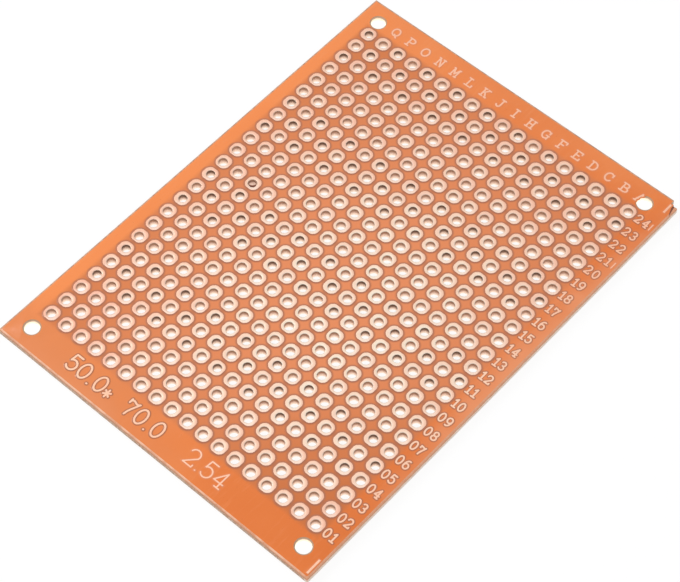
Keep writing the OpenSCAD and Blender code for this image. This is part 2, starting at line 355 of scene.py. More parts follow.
def noise(tree, place, size, detail=2.0, stretch=(1, 1, 1)):
    """Noise with blotches of about that size, longer along an axis whose stretch is below 1."""
    spread = node(tree, "ShaderNodeMapping", place, vector_type="POINT")
    spread.inputs["Scale"].default_value = stretch
    made = node(tree, "ShaderNodeTexNoise", spread.outputs[0])
    made.inputs["Scale"].default_value = 1 / size
    made.inputs["Detail"].default_value = detail
    return made.outputs["Fac"]


def bumped(tree, shader, height, depth):
    """Let a height from 0 to 1 move the shader's normal as a relief of that depth would."""
    bump = tree.nodes.new("ShaderNodeBump")
    bump.inputs["Distance"].default_value = depth
    tree.links.new(height, bump.inputs["Height"])
    tree.links.new(bump.outputs["Normal"], shader.inputs["Normal"])


# Where a point lies in the pad grid: the column and row of the pad nearest to it, counted from
# column R and row 01, how far it is from the middles of that pad and the next one, and how far
# outside the outermost line of pads.
grid, _, grid_out = group_of(
    "pad_grid", [],
    [("Column", "NodeSocketFloat"), ("Row", "NodeSocketFloat"),
     ("Away", "NodeSocketFloat"), ("Next Away", "NodeSocketFloat"),
     ("Outside", "NodeSocketFloat"), ("From Middle", "NodeSocketVector")])
from_first = node(grid, "ShaderNodeVectorMath", object_place(grid), first_pad,
                  operation="SUBTRACT")
in_pitches = node(grid, "ShaderNodeVectorMath", from_first.outputs[0], operation="SCALE")
in_pitches.inputs["Scale"].default_value = 1 / PITCH
counted = node(grid, "ShaderNodeSeparateXYZ", in_pitches.outputs[0])
offsets, outside = [], []
from_middle = node(grid, "ShaderNodeCombineXYZ")
for axis, label, count in (("X", "Column", COLUMNS), ("Y", "Row", ROWS)):
    whole = maths(grid, "ROUND", counted.outputs[axis])
    number = node(grid, "ShaderNodeClamp", whole, 0, count - 1).outputs[0]
    offset = maths(grid, "SUBTRACT", counted.outputs[axis], number)
    offsets.append(maths(grid, "ABSOLUTE", offset))
    grid.links.new(maths(grid, "MULTIPLY", offset, PITCH), from_middle.inputs[axis])
    inside = node(grid, "ShaderNodeClamp", counted.outputs[axis], 0, count - 1).outputs[0]
    outside.append(maths(grid, "ABSOLUTE", maths(grid, "SUBTRACT", counted.outputs[axis], inside)))
    grid.links.new(number, grid_out.inputs[label])
grid.links.new(from_middle.outputs[0], grid_out.inputs["From Middle"])
longer, shorter = maths(grid, "MAXIMUM", *offsets), maths(grid, "MINIMUM", *offsets)
grid.links.new(maths(grid, "MULTIPLY", maths(grid, "MAXIMUM", *outside), PITCH),
               grid_out.inputs["Outside"])
# Outside the grid there is no next pad: it counts as a whole pitch away.
next_along = maths(grid, "MAXIMUM", maths(grid, "SUBTRACT", 1, longer),
                   maths(grid, "GREATER_THAN", longer, 0.5))
for label, along in (("Away", longer), ("Next Away", next_along)):
    both = node(grid, "ShaderNodeCombineXYZ", along, shorter)
    distance = node(grid, "ShaderNodeVectorMath", both.outputs[0], operation="LENGTH")
    grid.links.new(maths(grid, "MULTIPLY", distance.outputs["Value"], PITCH),
                   grid_out.inputs[label])


def in_grid(tree):
    """A node that tells where a point lies in the pad grid."""
    made = tree.nodes.new("ShaderNodeGroup")
    made.node_tree = grid
    return made


def ellipse_out(tree, place, centre, reach):
    """0 in the middle of an ellipse, 1 on its outline, and more outside. Both are across the
    board and along it, in millimetres."""
    shifted = node(tree, "ShaderNodeVectorMath", place, Vector((*centre, 0)) * MM,
                   operation="SUBTRACT")
    scaled = node(tree, "ShaderNodeVectorMath", shifted.outputs[0], Vector((*reach, 5)) * MM,
                  operation="DIVIDE")
    return node(tree, "ShaderNodeVectorMath", scaled.outputs[0],
                operation="LENGTH").outputs["Value"]


# The laminate: resin that is lighter towards the left edge, partly painted light falloff, with a
# paler paper fibre along the board, small dark specks, pale patches on the right and bottom
# margins, a paler, greyer patch in the bottom left corner and a warm one in the top right; the
# patches at the bottom are painted sheen. A lacquer lies among the pads. It is paler except
# towards the corner of row 01 and column A, and darker round each pad, partly where it gathers and
# partly painted shade between the pads. The back has none.
paper, paper_in, paper_out = group_of(
    "paper_and_resin",
    [("Deep", "NodeSocketColor", (0.84, 0.19, 0.024, 1)),
     ("Warm", "NodeSocketColor", (0.98, 0.285, 0.07, 1)),
     ("Fibre", "NodeSocketColor", (0.95, 0.34, 0.12, 1)),
     ("Speck", "NodeSocketColor", (0.55, 0.12, 0.03, 1)),
     ("Pale Patch", "NodeSocketColor", (0.94, 0.322, 0.130, 1)),
     ("Corner Tone", "NodeSocketColor", (0.84, 0.25, 0.072, 1)),
     ("Dark Lacquer", "NodeSocketColor", (0.65, 0.17, 0.036, 1)),
     ("Pale Lacquer", "NodeSocketColor", (0.89, 0.287, 0.110, 1)),
     ("Gathered And Shade", "NodeSocketColor", (0.45, 0.155, 0.074, 1))],
    [("Color", "NodeSocketColor"), ("Gloss", "NodeSocketFloat"), ("Grain", "NodeSocketFloat")])
here = object_place(paper)
apart = node(paper, "ShaderNodeSeparateXYZ", here)
# The resin is nearly all the warm one at the left edge, and nearly all the deep one at the right.
# This lighter left side is partly painted light falloff; the mottling is the resin's own.
drift = maths(paper, "MULTIPLY_ADD", apart.outputs["X"], -0.75 / width, 0.43)
drift = maths(paper, "MULTIPLY_ADD", noise(paper, here, 9 * MM), 0.5, drift)
drift = maths(paper, "SUBTRACT", drift, 0.2)
resin_and_falloff = blend(paper, rise(paper, drift, 0.0, 1.0),
              paper_in.outputs["Deep"], paper_in.outputs["Warm"])
fibre = noise(paper, here, 0.45 * MM, 4, (1, 0.15, 1))
fibred = blend(paper, rise(paper, fibre, 0.5, 0.8, 0.25), resin_and_falloff, paper_in.outputs["Fibre"])
speck = noise(paper, here, 0.3 * MM)
specked = blend(paper, rise(paper, speck, 0.68, 0.76, 0.3), fibred, paper_in.outputs["Speck"])
# Patches: a pale one along the right margin, at the bottom left a paler, greyer one and a faint
# pale one, both painted sheen, and a warm one at the top right.
for centre, reach, most, colour in (
    ((26.5, 4), (6, 36), 1.0, "Pale Patch"),
    ((-16, -36), (26, 12), 1.0, "Corner Tone"),
    ((-12, -36), (10, 4.5), 0.3, "Pale Patch"),
    ((15, 37), (20, 8), 0.6, "Warm"),
):
    out = ellipse_out(paper, here, centre, reach)
    patchy = maths(paper, "MULTIPLY_ADD", noise(paper, here, 4 * MM), 0.6, out)
    specked = blend(paper, rise(paper, patchy, 1.3, 0.6, most), specked, paper_in.outputs[colour])
nearest = in_grid(paper)
# The lacquer is paler away from the corner of row 01 and column A, and darker towards it.
corner = maths(paper, "SUBTRACT", apart.outputs["Y"], apart.outputs["X"])
corner = maths(paper, "MULTIPLY_ADD", noise(paper, here, 3 * MM), 12 * MM, corner)
from_corner = node(paper, "ShaderNodeMapRange", corner, -42 * MM, -16 * MM).outputs[0]
out = ellipse_out(paper, here, (3, -4), (34, 46))
paler_lacquer_share = maths(paper, "MULTIPLY", from_corner, rise(paper, out, 1.3, 0.15))
lacquer = blend(paper, paler_lacquer_share,
                paper_in.outputs["Dark Lacquer"], paper_in.outputs["Pale Lacquer"])
coated = maths(paper, "GREATER_THAN", apart.outputs["Z"], BOARD_T / 2)
covered = maths(paper, "MULTIPLY", coated,
                rise(paper, nearest.outputs["Outside"], 1.6 * MM, 0.7 * MM, 0.9))
lacquered = blend(paper, covered, specked, lacquer)
# Darker round each pad, most in the narrow gaps between pads: partly lacquer gathered there,
# partly painted shade along the copper's edge.
lacquer_pool_and_shade = maths(paper, "ADD", *(
    rise(paper, nearest.outputs[label], PAD_W / 2 + 0.48 * MM, PAD_W / 2)
    for label in ("Away", "Next Away")))
lacquer_pool_and_shade = maths(paper, "MULTIPLY", coated, lacquer_pool_and_shade)
lacquered = blend(paper, lacquer_pool_and_shade, lacquered, paper_in.outputs["Gathered And Shade"])
paper.links.new(lacquered, paper_out.inputs["Color"])
smear = noise(paper, here, 6 * MM, 3)
paper.links.new(maths(paper, "MULTIPLY_ADD", smear, 0.1, 0.14), paper_out.inputs["Gloss"])
paper.links.new(maths(paper, "MULTIPLY_ADD", speck, 0.5, fibre), paper_out.inputs["Grain"])

PAPER_RELIEF = 0.003 * MM


def papered(tree, shader, depth):
    """Give a material the laminate's colour, gloss and grain. Returns the group's node."""
    made = tree.nodes.new("ShaderNodeGroup")
    made.node_tree = paper
    tree.links.new(made.outputs["Color"], shader.inputs["Base Color"])
    tree.links.new(made.outputs["Gloss"], shader.inputs["Roughness"])
    bumped(tree, shader, made.outputs["Grain"], depth)
    return made


board_material, board_tree, board_shader = new_material("phenolic_paper", (0.8, 0.25, 0.06), 0.35)
papered(board_tree, board_shader, PAPER_RELIEF)


# ---- Its edges ---------------------------------------------------------------------------------
# Milled score slopes with a torn band between them, as the board was snapped out of its panel.
# The slopes of the left and top edges, which face away, are duller and painted darker as shade. At
# the top right corner the board broke outside its score.

SIDEWAYS = 0.05                           # a slope faces a side if its normal leans more
NOTCH = Vector((1.1, 0.8)) * MM           # the strip outside the score is missing this much
SLIVER = Vector((0.6, 2.1, 0.12)) * MM    # its width and length, and how deep it is scuffed
SLIVER_TURN = math.atan(SLIVER.x / SLIVER.y)
GROOVE_R, GROOVE_LENGTH = 0.22 * MM, 1.15 * SLIVER.y


def share_below(tree, place):
    """How deep a point lies: 0 at the copper side, 1 at the underside."""
    height = node(tree, "ShaderNodeSeparateXYZ", place).outputs["Z"]
    return maths(tree, "MULTIPLY_ADD", height, -1 / BOARD_T, board_high.z / BOARD_T)


def on_right_edge(tree, place):
    """1 on the right edge, which runs a splay's width askew, and 0 on the others."""
    across = node(tree, "ShaderNodeSeparateXYZ", place).outputs["X"]
    return maths(tree, "GREATER_THAN", across, board_high.x - 2 * SPLAY)


# Milled slopes: the cutter leaves fine lines along the edge. Their upper lip is paler, partly worn
# down to the pale paper and partly a painted highlight along the edge, least on the right edge.
MILLED, MILLED_DEEP = (0.80, 0.40, 0.24, 1), (0.68, 0.29, 0.15, 1)
LIP_WEAR_AND_HIGHLIGHT = (0.93, 0.54, 0.36, 1)
slope_material, slope_tree, slope_shader = new_material("milled_score", (0.72, 0.29, 0.14), 0.65)
place = object_place(slope_tree)
mill = noise(slope_tree, place, 0.12 * MM, 3, (1, 1, 4))
scuff = noise(slope_tree, place, 1.5 * MM, 3)
cut_paper = blend(slope_tree, rise(slope_tree, mill, 0.35, 0.7), MILLED, MILLED_DEEP)
lip_wear_share = maths(slope_tree, "MULTIPLY_ADD", scuff, -2 * LIP.y / BOARD_T,
                   share_below(slope_tree, place))
lip_wear_and_highlight = rise(slope_tree, lip_wear_share, 0.3 * LIP.y / BOARD_T, -0.3 * LIP.y / BOARD_T)
lip_wear_and_highlight = maths(slope_tree, "MULTIPLY", lip_wear_and_highlight, maths(
    slope_tree, "MULTIPLY_ADD", on_right_edge(slope_tree, place), -0.8, 1.0))
lip_wear_and_highlight = maths(slope_tree, "MULTIPLY", lip_wear_and_highlight, rise(slope_tree, scuff, 0.35, 0.6))
slope_tree.links.new(
    blend(slope_tree, lip_wear_and_highlight, cut_paper, LIP_WEAR_AND_HIGHLIGHT), slope_shader.inputs["Base Color"])
bumped(slope_tree, slope_shader, mill, 0.01 * MM)

# The slopes of the left and top edges face away from the camera; their darker, mottled colour is
# painted shade.
FAR_SHADE_DARK, FAR_SHADE_PALE = (0.50, 0.27, 0.17, 1), (0.70, 0.42, 0.28, 1)
far_slope_material, far_slope_tree, far_slope_shader = new_material(
    "shaded_far_slope", (0.6, 0.34, 0.22), 0.8)
place = object_place(far_slope_tree)
far_slope_mottle = noise(far_slope_tree, place, 0.5 * MM, 4)
far_slope_tree.links.new(
    blend(far_slope_tree, rise(far_slope_tree, far_slope_mottle, 0.35, 0.65), FAR_SHADE_DARK, FAR_SHADE_PALE),
    far_slope_shader.inputs["Base Color"])
bumped(far_slope_tree, far_slope_shader, far_slope_mottle, 0.02 * MM)

# Torn band: layers of paper broken across, pale and fibrous, browner between the layers. On the
# right edge it is redder under the score and paler below.
LAYER_DARK, LAYER_PALE = (0.55, 0.33, 0.21, 1), (0.70, 0.48, 0.34, 1)
CHIP_PALE = (0.78, 0.60, 0.47, 1)
RED_BREAK, PALE_BREAK = (0.92, 0.53, 0.34), (0.99, 0.84, 0.71)
torn_material, torn_tree, torn_shader = new_material("torn_paper", (0.6, 0.36, 0.24), 0.9)
place = object_place(torn_tree)
layers = noise(torn_tree, place, 0.5 * MM, 4, (1, 1, 9))
chips = noise(torn_tree, place, 0.3 * MM, 4)
layered = blend(torn_tree, rise(torn_tree, layers, 0.4, 0.62), LAYER_DARK, LAYER_PALE)
chipped = blend(torn_tree, rise(torn_tree, chips, 0.42, 0.62), layered, CHIP_PALE)
broken_share = maths(torn_tree, "MULTIPLY_ADD", chips, 0.6,
                     maths(torn_tree, "SUBTRACT", share_below(torn_tree, place), 0.3))
red_above = graded(torn_tree, broken_share, (0.2, RED_BREAK), (0.45, PALE_BREAK))
torn_tree.links.new(
    blend(torn_tree, on_right_edge(torn_tree, place), chipped, red_above),
    torn_shader.inputs["Base Color"])
bumped(torn_tree, torn_shader, maths(torn_tree, "ADD", layers, chips), 0.05 * MM)

for material in (board_material, slope_material, torn_material, far_slope_material):
    plate.data.materials.append(material)
# The slopes facing the far side take the painted shade.
SLOPE, TORN, FAR_SLOPE = 1, 2, 3
for face in plate.data.polygons:
    if abs(face.normal.z) < FLAT:
        sloping = not SCORE_DEPTH < face.center.z < BOARD_T - SCORE_DEPTH
        facing_far = face.normal.x < -SIDEWAYS or face.normal.y > SIDEWAYS
        face.material_index = TORN if not sloping else FAR_SLOPE if facing_far else SLOPE


def cut(piece, cutter):
    """Take a cutter's shape out of a piece. The cut faces keep the cutter's material."""
    taking = piece.modifiers.new("cut", "BOOLEAN")
    taking.operation = "DIFFERENCE"
    taking.solver = "MANIFOLD"
    taking.material_mode = "TRANSFER"
    taking.object = cutter
    apply_all(piece)
    bpy.data.objects.remove(cutter)


# The strip outside the score at the top right corner has lost its end.
bpy.ops.object.select_all(action="DESELECT")
bpy.ops.mesh.primitive_cube_add(size=1)
snapped_end = bpy.context.object
snapped_end.scale = (2 * NOTCH.x, 2 * NOTCH.y, 4 * BOARD_T)
snapped_end.location = (board_high.x, board_high.y, BOARD_T / 2)
settle(snapped_end)
snapped_end.data.materials.append(torn_material)
cut(plate, snapped_end)

# Below the missing end, the break left the score for a short way. The score runs out through the
# copper face as a shallow groove, and the sliver outside it is scuffed down, most at its end.
bpy.ops.object.select_all(action="DESELECT")
bpy.ops.mesh.primitive_cone_add(
    vertices=4, radius1=GROOVE_R, radius2=0, depth=GROOVE_LENGTH,
    location=(0, -GROOVE_LENGTH / 2, 0), rotation=(math.pi / 2, 0, 0))
groove = bpy.context.object
bpy.ops.mesh.primitive_cube_add(size=1, location=(SLIVER.x / 2, -SLIVER.y / 2, SLIVER.x / 2))
scuff_cut = bpy.context.object
scuff_cut.scale = (SLIVER.x, SLIVER.y * 1.1, SLIVER.x)
settle(scuff_cut)
start_editing(scuff_cut, "VERT")
choose(scuff_cut, "VERT", lambda co: co.z < SLIVER.x / 2 and co.y > -SLIVER.y / 2)
bpy.ops.transform.translate(value=(0, 0, -SLIVER.z))
bpy.ops.object.mode_set(mode="OBJECT")
# The groove is dark, partly painted shade inside its narrow V.
GROOVE_DARK, GROOVE_PALE = (0.20, 0.06, 0.035, 1), (0.50, 0.19, 0.12, 1)
groove_material, groove_tree, groove_shader = new_material(
    "score_groove", (0.3, 0.1, 0.06), 0.8)
place = object_place(groove_tree)
groove_tree.links.new(
    blend(groove_tree, noise(groove_tree, place, 0.15 * MM, 3), GROOVE_DARK, GROOVE_PALE),
    groove_shader.inputs["Base Color"])
for cutter, material in ((scuff_cut, slope_material), (groove, groove_material)):
    settle(cutter)
    cutter.data.transform(
        Matrix.Translation((board_high.x - SLIVER.x, board_high.y - NOTCH.y, BOARD_T))
        @ Matrix.Rotation(SLIVER_TURN, 4, "Z"))
    cutter.data.materials.append(material)
    cut(plate, cutter)


# ---- Its holes ---------------------------------------------------------------------------------
# The lead holes are punched by a gang tool, three rows at a time, so their places and sizes
# repeat every six rows. Each breaks out a little at both faces. Four mounting holes are drilled.

GANG_ROWS = 3
# From the middle of the pad to the middle of its hole, and the hole's radius.
PLAIN_HOLE = (Vector((-0.05, -0.08, 0)) * MM, 0.61 * MM)
WIDE_HOLE = (Vector((0.08, -0.03, 0)) * MM, 0.6 * MM)
TIGHT_HOLE = (Vector((0.07, 0.03, 0)) * MM, 0.57 * MM)
HOLE_SIDES, DRILL_SIDES = 24, 48


def hole_kind(column, row):
    """The place and radius of one lead hole, counted from column R and row 01."""
    if row % (2 * GANG_ROWS) < GANG_ROWS:
        return PLAIN_HOLE
    return WIDE_HOLE if (row + column) % 2 == 0 else TIGHT_HOLE


def pad_place(column, row):
    """The middle of a pad, counted from column R and row 01."""
    return first_pad + Vector((column, row, 0)) * PITCH


def turned(name, sides, rings):
    """A closed round piece: a disc extruded and resized from one (height, radius) to the next."""
    bpy.ops.object.select_all(action="DESELECT")
    height, radius = rings[0]
    bpy.ops.mesh.primitive_circle_add(
        vertices=sides, radius=radius, fill_type="NGON", location=(0, 0, height))
    piece = bpy.context.object
    piece.name = name
    settle(piece)
    start_editing(piece, "FACE")
    bpy.ops.mesh.select_all(action="SELECT")
    for next_height, next_radius in rings[1:]:
        bpy.ops.mesh.extrude_region_move(
            TRANSFORM_OT_translate={"value": (0, 0, next_height - height)})
        ratio = next_radius / radius
        bpy.ops.transform.resize(value=(ratio, ratio, 1), center_override=(0, 0, next_height))
        height, radius = next_height, next_radius
    bpy.ops.mesh.select_all(action="SELECT")
    bpy.ops.mesh.normals_make_consistent(inside=False)
    bpy.ops.object.mode_set(mode="OBJECT")
    return piece


def copied(piece, place):
    """A copy of a piece with its own mesh, moved to a place."""
    copy = piece.copy()
    copy.data = piece.data.copy()
    copy.data.transform(Matrix.Translation(place))
    bpy.context.scene.collection.objects.link(copy)
    return copy


def joined(name, pieces):
    """Several pieces made into one."""
    bpy.ops.object.select_all(action="DESELECT")
    for piece in pieces:
        piece.select_set(True)
    bpy.context.view_layer.objects.active = pieces[0]
    bpy.ops.object.join()
    pieces[0].name = name
    return pieces[0]


def hole_profile(radius, break_in, depth_in, break_out):
    """Rings of a cutter that passes both faces. It is wider by break_in at the copper face, which
    fades out over depth_in, and by break_out at the back."""
    low, high = board_low.z, board_high.z
    depth_out = 0.1 * MM
    return [
        (low - depth_out, radius + 2 * break_out),
        (low + depth_out, radius),
        (high - depth_in, radius),
        (high + depth_in, radius + 2 * break_in),
    ]


# Punched walls: brown under the copper, painted shade, then paler lower down, painted light as
# from beneath, with a painted glow in the lower part. The tight holes are darker and glow less.
DARKER_WALL, NO_LIGHT = (0.05, 0.02, 0.008, 1), (0, 0, 0, 1)
wall_material, wall_tree, wall_shader = new_material("punched_wall", (0.5, 0.3, 0.2), 0.85)
place = object_place(wall_tree)
ragged = noise(wall_tree, place, 0.22 * MM, 3)
share = maths(wall_tree, "ADD", share_below(wall_tree, place),
              maths(wall_tree, "MULTIPLY_ADD", ragged, 0.2, -0.1))
nearest = in_grid(wall_tree)
column_number, row_number = nearest.outputs["Column"], nearest.outputs["Row"]
odd = maths(wall_tree, "FLOORED_MODULO",
            maths(wall_tree, "ADD", column_number, row_number), 2.0)
in_second_gang = maths(wall_tree, "GREATER_THAN",
                       maths(wall_tree, "FLOORED_MODULO", row_number, 2 * GANG_ROWS),
                       GANG_ROWS - 0.5)
# The tight holes have darker walls and less glow.
darker_wall_share = maths(wall_tree, "MULTIPLY", maths(wall_tree, "MULTIPLY", odd, in_second_gang),
                 rise(wall_tree, share, 0.7, 0.1, 0.6))
# The wall's colour: painted shade at the top and painted light from beneath lower down.
wall_shade_ramp = graded(wall_tree, share, (0.0, (0.50, 0.30, 0.205)), (0.25, (0.50, 0.30, 0.205)),
                   (0.42, (0.66, 0.49, 0.40)), (0.58, (0.76, 0.60, 0.51)),
                   (0.75, (0.80, 0.68, 0.58)), (1.0, (0.90, 0.85, 0.74)))
wall_tree.links.new(blend(wall_tree, darker_wall_share, wall_shade_ramp, DARKER_WALL),
                    wall_shader.inputs["Base Color"])
# A painted glow in the lower wall, though it is no lamp.
painted_wall_glow = graded(wall_tree, share, (0.22, (0.0, 0.0, 0.0)), (0.42, (0.10, 0.062, 0.046)),
                   (0.58, (0.24, 0.175, 0.14)), (0.75, (0.38, 0.31, 0.26)),
                   (1.0, (0.52, 0.47, 0.41)))
wall_tree.links.new(blend(wall_tree, darker_wall_share, painted_wall_glow, NO_LIGHT),
                    wall_shader.inputs["Emission Color"])
wall_shader.inputs["Emission Strength"].default_value = 1.0
bumped(wall_tree, wall_shader, ragged, 0.03 * MM)

# Drilled walls: cleaner, with painted shade only at the very top, paler below, and a painted glow
# lower down.
drilled_material, drilled_tree, drilled_shader = new_material(
    "drilled_wall", (0.85, 0.65, 0.5), 0.8)
place = object_place(drilled_tree)
ragged = noise(drilled_tree, place, 0.3 * MM, 3, (1, 1, 3))
share = maths(drilled_tree, "ADD", share_below(drilled_tree, place),
              maths(drilled_tree, "MULTIPLY_ADD", ragged, 0.1, -0.05))
drilled_tree.links.new(
    graded(drilled_tree, share, (0.0, (0.50, 0.30, 0.18)), (0.08, (0.56, 0.40, 0.28)),
           (0.25, (0.80, 0.68, 0.54)), (1.0, (0.95, 0.90, 0.84))),
    drilled_shader.inputs["Base Color"])
# A painted glow on the lower wall, though it is no lamp.
drilled_tree.links.new(
    graded(drilled_tree, share, (0.12, (0.0, 0.0, 0.0)), (0.3, (0.40, 0.35, 0.28)),
           (0.8, (0.6, 0.56, 0.5))), drilled_shader.inputs["Emission Color"])
drilled_shader.inputs["Emission Strength"].default_value = 1.0
bumped(drilled_tree, drilled_shader, ragged, 0.02 * MM)

punches = {}
for _, radius in (PLAIN_HOLE, WIDE_HOLE, TIGHT_HOLE):
    profile = hole_profile(radius, break_in=0.02 * MM, depth_in=0.02 * MM, break_out=0.04 * MM)
    punches[radius] = turned("punch", HOLE_SIDES, profile)
    punches[radius].data.materials.append(wall_material)
gang = []
for column in range(COLUMNS):
    for row in range(ROWS):
        shift, radius = hole_kind(column, row)
        gang.append(copied(punches[radius], pad_place(column, row) + shift))
for punch in punches.values():
    bpy.data.objects.remove(punch)
mounting = next(m for m in frame["record"]["mounts"] if m["name"] == "mounting_holes")
sizes = mounting["dims"]
drill = turned("drill", DRILL_SIDES, hole_profile(
    sizes["hole_r_mm"] * MM, break_in=0.16 * MM, depth_in=0.06 * MM, break_out=0.04 * MM))
drill.data.materials.append(drilled_material)
for across in (-0.5, 0.5):
    for along in (-0.5, 0.5):
        gang.append(copied(drill, Vector((
            mounting["pos_m"][0] + across * sizes["spacing_x_mm"] * MM,
            mounting["pos_m"][1] + along * sizes["spacing_y_mm"] * MM,
            0))))
bpy.data.objects.remove(drill)
cut(plate, joined("gang", gang))

bpy.ops.object.shade_smooth_by_angle(angle=math.radians(20))

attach(plate, "root")
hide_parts("board")


# ---- The pads ----------------------------------------------------------------------------------
# Copper foil, etched into eight-sided pads. The punch has rolled each pad's inner rim down a
# little, and a dark fillet runs along its outer edge, partly flux lacquer and partly painted
# shade.

COPPER_T = cad_box[1].z - board_high.z
CORNER_W = 2.08 * MM                      # across the corners cut off the square
PAD_CORNER = 0.15 * MM                    # cut off each point that is left
PAD_LEVEL = 0.999                         # only its flat top has a more upright normal
RIM_ROLL = Vector((0.07, 0.025)) * MM     # how far the rolled rim reaches, across and down
FILLET_W = 0.2 * MM
FILLET_LIFT = 0.002 * MM                  # the fillet's foot lies just above the laminate
NEAR_WAY = (0.66, -0.75, 0)                  # the way towards the near side, the corner of row 01 and column A
LETTERS = "rqponmlkjihgfedcba"            # the columns, from the left edge

# The foil: satin copper, paled by its lacquer. Fine brushed lines, small tarnish spots, and a
# slightly different tone on every pad or line. It is paler in the middle of the board, and has
# another tone towards both corners of row 01.
foil, foil_in, foil_out = group_of(
    "etched_foil",
    [("Light", "NodeSocketColor", (0.92, 0.62, 0.468, 1)),
     ("Pink", "NodeSocketColor", (0.90, 0.535, 0.398, 1)),
     ("Edge", "NodeSocketColor", (0.92, 0.52, 0.35, 1)),
     ("Tarnish", "NodeSocketColor", (0.62, 0.36, 0.24, 1)),
     ("Middle Pale", "NodeSocketColor", (1.02, 1.33, 1.44, 1)),
     ("Corner Tone", "NodeSocketColor", (0.92, 0.82, 0.82, 1))],
    [("Color", "NodeSocketColor"), ("Gloss", "NodeSocketFloat"), ("Grain", "NodeSocketFloat")])
here = object_place(foil)
from_corner = node(foil, "ShaderNodeVectorMath", here, operation="SUBTRACT")
from_corner.inputs[1].default_value = first_pad - Vector((PITCH, PITCH, 0)) / 2
own_cell = node(foil, "ShaderNodeVectorMath", from_corner.outputs[0], operation="SNAP")
own_cell.inputs[1].default_value = (PITCH, PITCH, 1)
chance = node(foil, "ShaderNodeTexWhiteNoise", own_cell.outputs[0], noise_dimensions="3D")
cloud = noise(foil, here, 0.8 * MM)
tone = maths(foil, "MULTIPLY_ADD", chance.outputs["Value"], 0.45,
             maths(foil, "MULTIPLY", cloud, 0.7))
tinted = blend(foil, rise(foil, tone, 0.25, 0.85),
               foil_in.outputs["Pink"], foil_in.outputs["Light"])
outer = rise(foil, in_grid(foil).outputs["Away"], PAD_W / 2 - 0.22 * MM, PAD_W / 2, 0.7)
tinted = blend(foil, outer, tinted, foil_in.outputs["Edge"])
spot = noise(foil, here, 0.22 * MM, 3)
spotted = blend(foil, rise(foil, spot, 0.64, 0.76, 0.4), tinted, foil_in.outputs["Tarnish"])
tint = (1, 1, 1, 1)
for centre, reach, rim, most, colour in (
    ((6, -6), (25, 30), 0.0, 1.0, "Middle Pale"),
    ((-28, -36), (20, 20), 0.5, 0.8, "Corner Tone"),
    ((28, -37), (14, 14), 0.5, 0.7, "Corner Tone"),
):
    out = ellipse_out(foil, here, centre, reach)
    tint = blend(foil, rise(foil, out, 1.25, rim, most), tint, foil_in.outputs[colour])
shade = node(foil, "ShaderNodeVectorMath", spotted, tint, operation="MULTIPLY")
foil.links.new(shade.outputs[0], foil_out.inputs["Color"])
brushed = noise(foil, here, 0.1 * MM, 3, (0.15, 1, 1))
foil.links.new(maths(foil, "MULTIPLY_ADD", brushed, 0.25, 0.3), foil_out.inputs["Gloss"])
foil.links.new(maths(foil, "ADD", brushed, cloud), foil_out.inputs["Grain"])


def foiled(tree, shader, depth):
    """Give a material the foil's colour, gloss and grain. Returns the group's node."""
    made = tree.nodes.new("ShaderNodeGroup")
    made.node_tree = foil
    tree.links.new(made.outputs["Color"], shader.inputs["Base Color"])
    tree.links.new(made.outputs["Gloss"], shader.inputs["Roughness"])
    bumped(tree, shader, made.outputs["Grain"], depth)
    return made


def towards(tree, way, low, high, most=1.0):
    """How far a point lies to one side of its pad: 0 up to low, and most from high on."""
    leaning = node(tree, "ShaderNodeVectorMath", in_grid(tree).outputs["From Middle"],
                   operation="DOT_PRODUCT")
    leaning.inputs[1].default_value = way
    return rise(tree, leaning.outputs["Value"], low, high, most)


pad_material, pad_tree, pad_shader = new_material("pad_copper", (0.95, 0.65, 0.49), 0.4)
pad_shader.inputs["Metallic"].default_value = 0.6
pad_foil = foiled(pad_tree, pad_shader, 0.006 * MM)
# Painted light on each pad: its side towards the corner of row 01 and column A, the near side, is
# paler, a painted highlight, and its side towards row 24 and column A is redder, painted shade.
pad_colour = pad_foil.outputs["Color"]
for way, most, colour in (
    (NEAR_WAY, 0.5, (0.95, 0.80, 0.70, 1)),
    ((-NEAR_WAY[1], NEAR_WAY[0], 0), 0.35, (0.82, 0.44, 0.31, 1)),
):
    share = towards(pad_tree, way, 0.2 * MM, 0.9 * MM, most)
    pad_colour = blend(pad_tree, share, pad_colour, colour)
pad_tree.links.new(pad_colour, pad_shader.inputs["Base Color"])

# The rolled rim of a hole is duller, where the punch has rubbed it.
rim_material, rim_tree, rim_shader = new_material("rim_copper", (0.8, 0.56, 0.43), 0.5)
rim_shader.inputs["Metallic"].default_value = 0.1
rubbed = foiled(rim_tree, rim_shader, 0.01 * MM)
rubbed.inputs["Light"].default_value = (0.82, 0.60, 0.47, 1)
rubbed.inputs["Pink"].default_value = (0.76, 0.51, 0.40, 1)


def flux_and_shade_fillet(name, colour, near_shade_colour=None):
    """The fillet's material: darkest against the copper, partly flux and partly painted shade, and
    the laminate's colour at its foot. Round a pad its near side is darker again, as painted shade."""
    material, tree, shader = new_material(name, colour, 0.35)
    under = papered(tree, shader, PAPER_RELIEF)
    height = node(tree, "ShaderNodeSeparateXYZ", object_place(tree)).outputs["Z"]
    thickness = maths(tree, "MULTIPLY_ADD", height, 1 / COPPER_T, -board_high.z / COPPER_T)
    against_copper = (*colour, 1)
    if near_shade_colour:
        against_copper = blend(tree, towards(tree, NEAR_WAY, 0.3 * MM, 1.1 * MM), against_copper, (*near_shade_colour, 1))
    # The colour darkens up the fillet towards the copper: partly flux, partly painted shade.
    tree.links.new(blend(tree, thickness, under.outputs["Color"], against_copper),
                   shader.inputs["Base Color"])
    return material


fillet_material = flux_and_shade_fillet("flux_and_shade_fillet", (0.52, 0.19, 0.10), (0.40, 0.135, 0.07))


